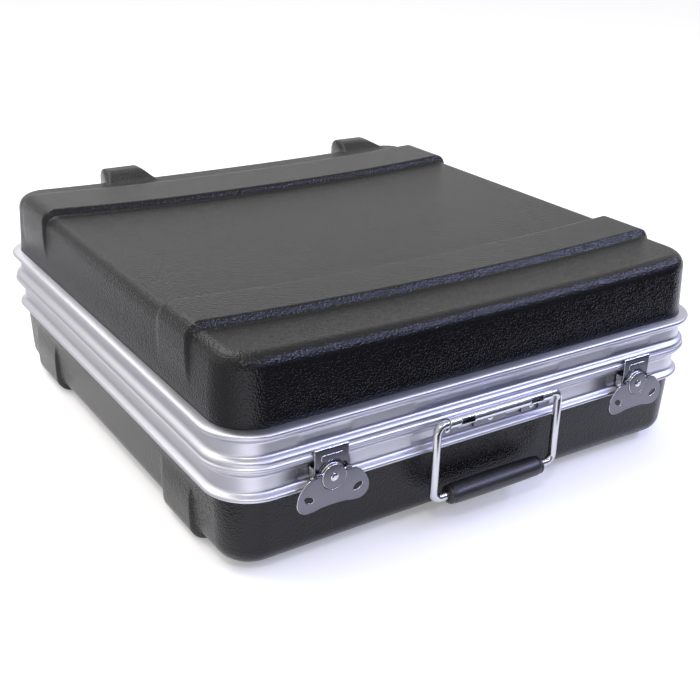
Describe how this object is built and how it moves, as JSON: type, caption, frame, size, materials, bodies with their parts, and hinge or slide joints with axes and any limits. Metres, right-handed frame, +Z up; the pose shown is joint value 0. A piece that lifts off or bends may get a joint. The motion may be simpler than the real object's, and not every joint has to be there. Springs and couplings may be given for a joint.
{
  "type": "equipment rack case",
  "caption": "Shallow moulded equipment rack case with aluminium edging, hinged lid, turn latches, a bail handle, rear feet and a foam-mounted rack frame.",
  "frame": {"origin": "centre of the footprint box, on the floor the feet stand on", "axes": "+Z up through the lid, +Y from the latches and handle towards the hinges, +X to the right when facing the handle"},
  "size_m": [0.576, 0.6202, 0.2223],
  "materials": {
    "shell_plastic": "moulded black polymer with a pebble grain",
    "valance_aluminium": "mill-finish rolled aluminium with fine lengthwise lines",
    "plated_steel": "bright nickel plate",
    "latch_steel": "bright plated pressing, reads dark where it mirrors the floor",
    "rivet_steel": "bright plated steel",
    "hinge_steel": "zinc-plated steel",
    "grip_vinyl": "satin black moulded vinyl",
    "foam": "closed-cell charcoal foam with a sliced face",
    "plywood": "birch plywood, clear sealed",
    "rail_paint": "black powder coat on folded steel",
    "screw_zinc": "bright zinc"
  },
  "bodies": {
    "case": {"base_shell": "shell_plastic", "base_valance": "valance_aluminium", "base_splice_plate": "valance_aluminium", "base_splice_rivet_1": "rivet_steel", "base_splice_rivet_2": "rivet_steel", "hinge_base_leaf_left": "hinge_steel", "hinge_pin_left": "rivet_steel", "hinge_base_rivet_left_1": "rivet_steel", "hinge_base_rivet_left_2": "rivet_steel", "latch_plate_left": "plated_steel", "latch_pivot_left": "rivet_steel", "latch_rivet_left_1": "rivet_steel", "latch_rivet_left_2": "rivet_steel", "side_pad_left": "foam", "side_board_left": "plywood", "rack_rail_left": "rail_paint", "rail_screw_left_1": "screw_zinc", "rail_screw_left_2": "screw_zinc", "hinge_base_leaf_right": "hinge_steel", "hinge_pin_right": "rivet_steel", "hinge_base_rivet_right_1": "rivet_steel", "hinge_base_rivet_right_2": "rivet_steel", "latch_plate_right": "plated_steel", "latch_pivot_right": "rivet_steel", "latch_rivet_right_1": "rivet_steel", "latch_rivet_right_2": "rivet_steel", "side_pad_right": "foam", "side_board_right": "plywood", "rack_rail_right": "rail_paint", "rail_screw_right_1": "screw_zinc", "rail_screw_right_2": "screw_zinc", "handle_plate": "plated_steel", "handle_rivet_1": "rivet_steel", "handle_rivet_2": "rivet_steel", "handle_rivet_3": "rivet_steel", "floor_pad": "foam"},
    "lid": {"lid_shell": "shell_plastic", "lid_valance": "valance_aluminium", "lid_splice_plate": "valance_aluminium", "lid_splice_rivet_1": "rivet_steel", "lid_splice_rivet_2": "rivet_steel", "lid_pad": "foam", "hinge_lid_leaf_left": "hinge_steel", "hinge_lid_rivet_left_1": "rivet_steel", "hinge_lid_rivet_left_2": "rivet_steel", "hinge_lid_leaf_right": "hinge_steel", "hinge_lid_rivet_right_1": "rivet_steel", "hinge_lid_rivet_right_2": "rivet_steel"},
    "bail": {"handle_bail": "plated_steel", "handle_grip": "grip_vinyl"},
    "latch_turn_left": {"latch_rotor_left": "latch_steel", "latch_wing_pin_left": "rivet_steel"},
    "latch_flap_left": {"latch_wing_left": "latch_steel"},
    "latch_slide_left": {"latch_hook_left": "latch_steel"},
    "latch_turn_right": {"latch_rotor_right": "latch_steel", "latch_wing_pin_right": "rivet_steel"},
    "latch_flap_right": {"latch_wing_right": "latch_steel"},
    "latch_slide_right": {"latch_hook_right": "latch_steel"}
  },
  "joints": [
    {"name": "lid_hinge", "type": "hinge", "parent": "case", "child": "lid", "pos_m": [0, 0.29715, 0.1132], "axis": [-1, 0, 0], "range_deg": [0, 105]},
    {"name": "handle_swing", "type": "hinge", "parent": "case", "child": "bail", "pos_m": [0, -0.29915, 0.1127], "axis": [-1, 0, 0], "range_deg": [0, 100]},
    {"name": "latch_turn_left", "type": "hinge", "parent": "case", "child": "latch_turn_left", "pos_m": [-0.185, -0.2985, 0.0947], "axis": [0, -1, 0], "range_deg": [0, 180]},
    {"name": "latch_flap_left", "type": "hinge", "parent": "latch_turn_left", "child": "latch_flap_left", "pos_m": [-0.185, -0.29925, 0.0997], "axis": [-1, 0, 0], "range_deg": [0, 90]},
    {"name": "latch_slide_left", "type": "slide", "parent": "case", "child": "latch_slide_left", "axis": [0, 0, 1], "range_m": [0, 0.0061]},
    {"name": "latch_turn_right", "type": "hinge", "parent": "case", "child": "latch_turn_right", "pos_m": [0.185, -0.2985, 0.0947], "axis": [0, -1, 0], "range_deg": [0, 180]},
    {"name": "latch_flap_right", "type": "hinge", "parent": "latch_turn_right", "child": "latch_flap_right", "pos_m": [0.185, -0.29925, 0.0997], "axis": [-1, 0, 0], "range_deg": [0, 90]},
    {"name": "latch_slide_right", "type": "slide", "parent": "case", "child": "latch_slide_right", "axis": [0, 0, 1], "range_m": [0, 0.0061]}
  ],
  "couplings": [
    {"joint": "latch_slide_left", "follows": "latch_turn_left", "m_per_rad": 0.0019},
    {"joint": "latch_slide_right", "follows": "latch_turn_right", "m_per_rad": 0.0019}
  ]
}
